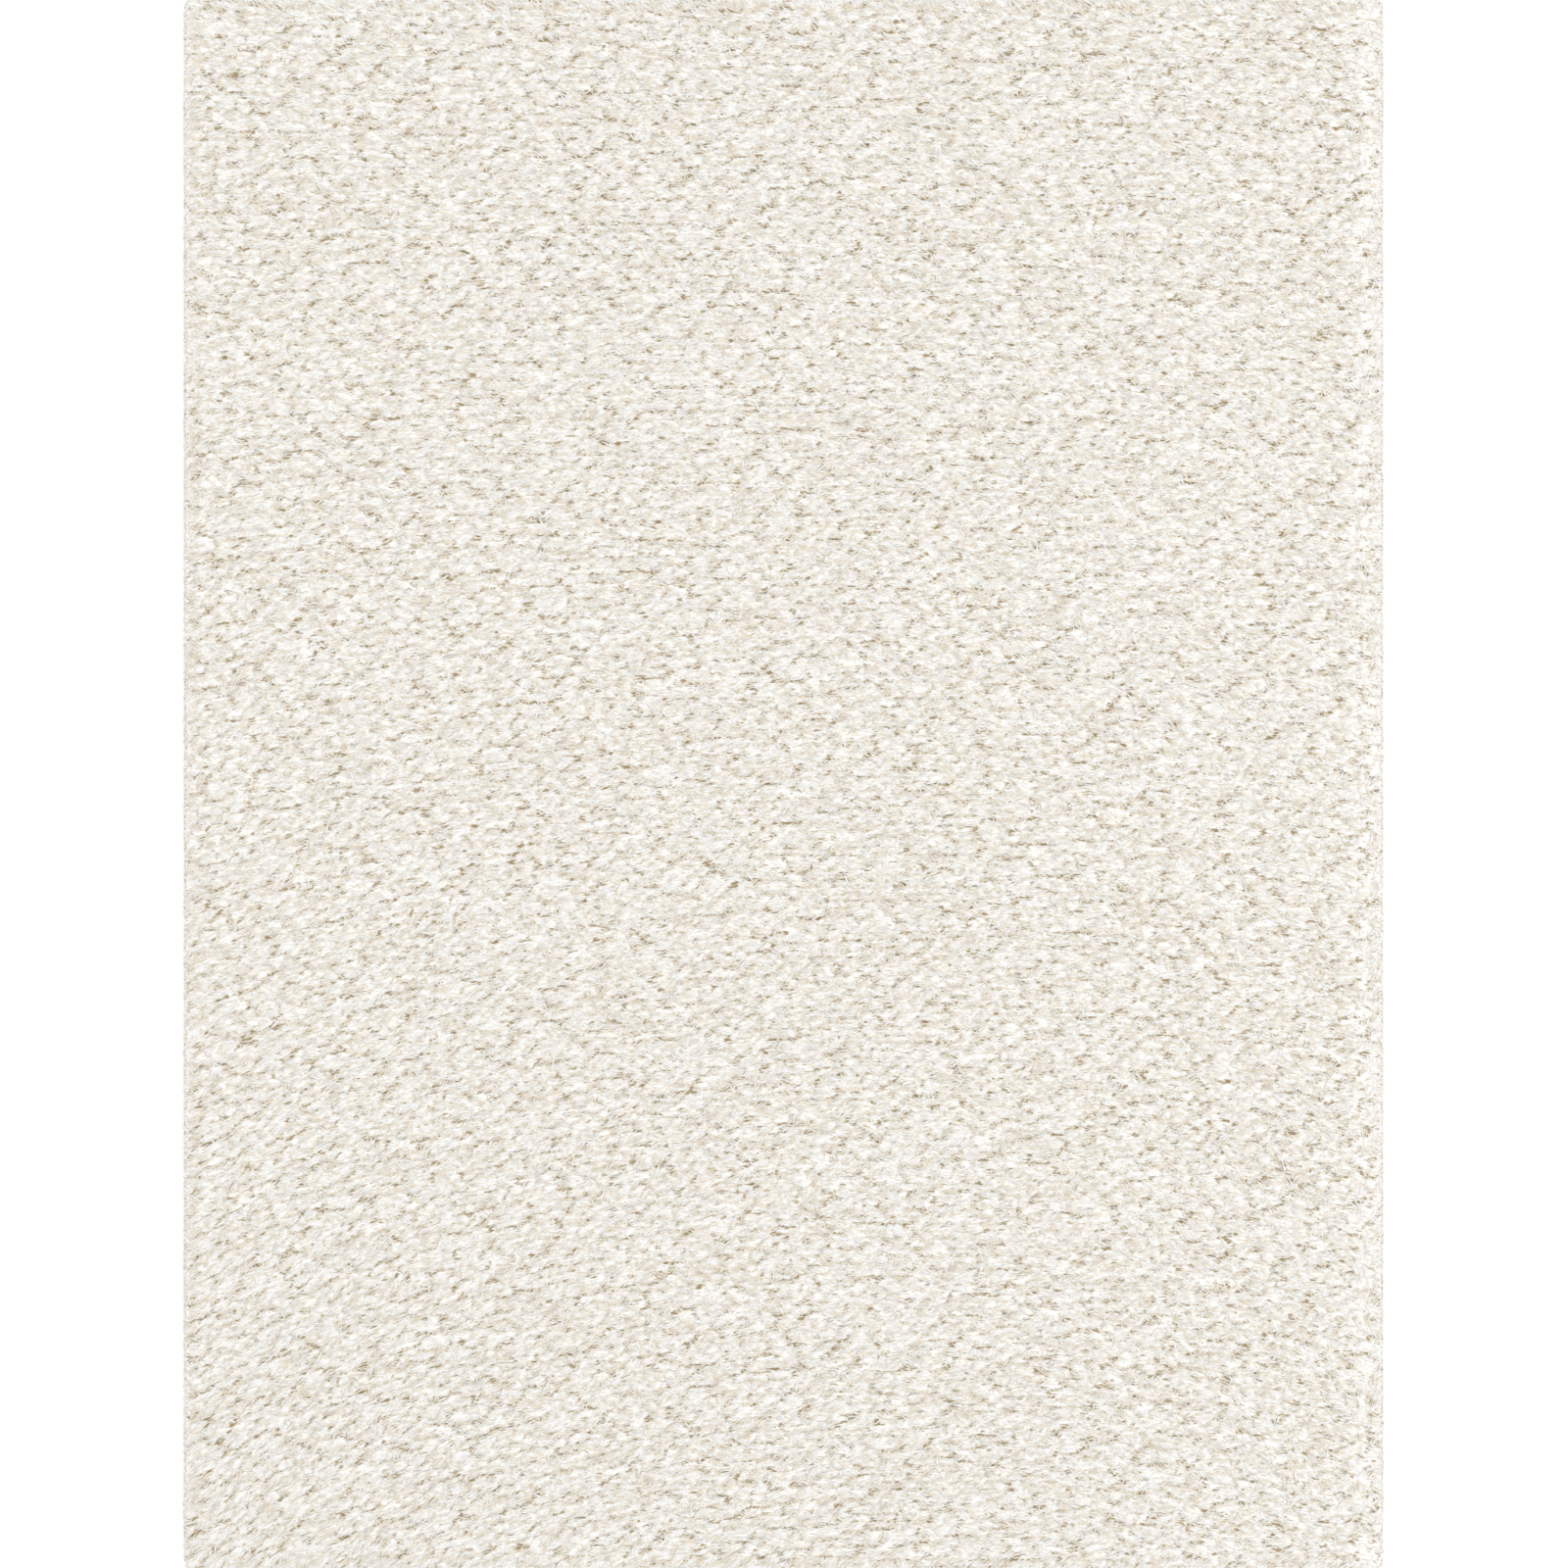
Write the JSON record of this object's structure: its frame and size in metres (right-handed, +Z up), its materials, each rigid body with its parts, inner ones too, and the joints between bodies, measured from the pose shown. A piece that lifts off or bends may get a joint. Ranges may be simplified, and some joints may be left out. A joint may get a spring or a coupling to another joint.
{
  "type": "shag rug",
  "caption": "Rectangular shag rug: thick, soft, cream cut pile that covers the top and falls over all the edges, on a flat woven underside.",
  "frame": {"origin": "centre of the flat underside, on the floor", "axes": "+X across the rug, +Y along it (the picture's upward direction), +Z up out of the pile"},
  "size_m": [1.6, 2.1, 0.038],
  "materials": {
    "pile": "matt cut-pile yarn in cream, a little darker and warmer down between the tufts"
  },
  "bodies": {
    "root": {"shag_rug": "pile"}
  },
  "joints": []
}
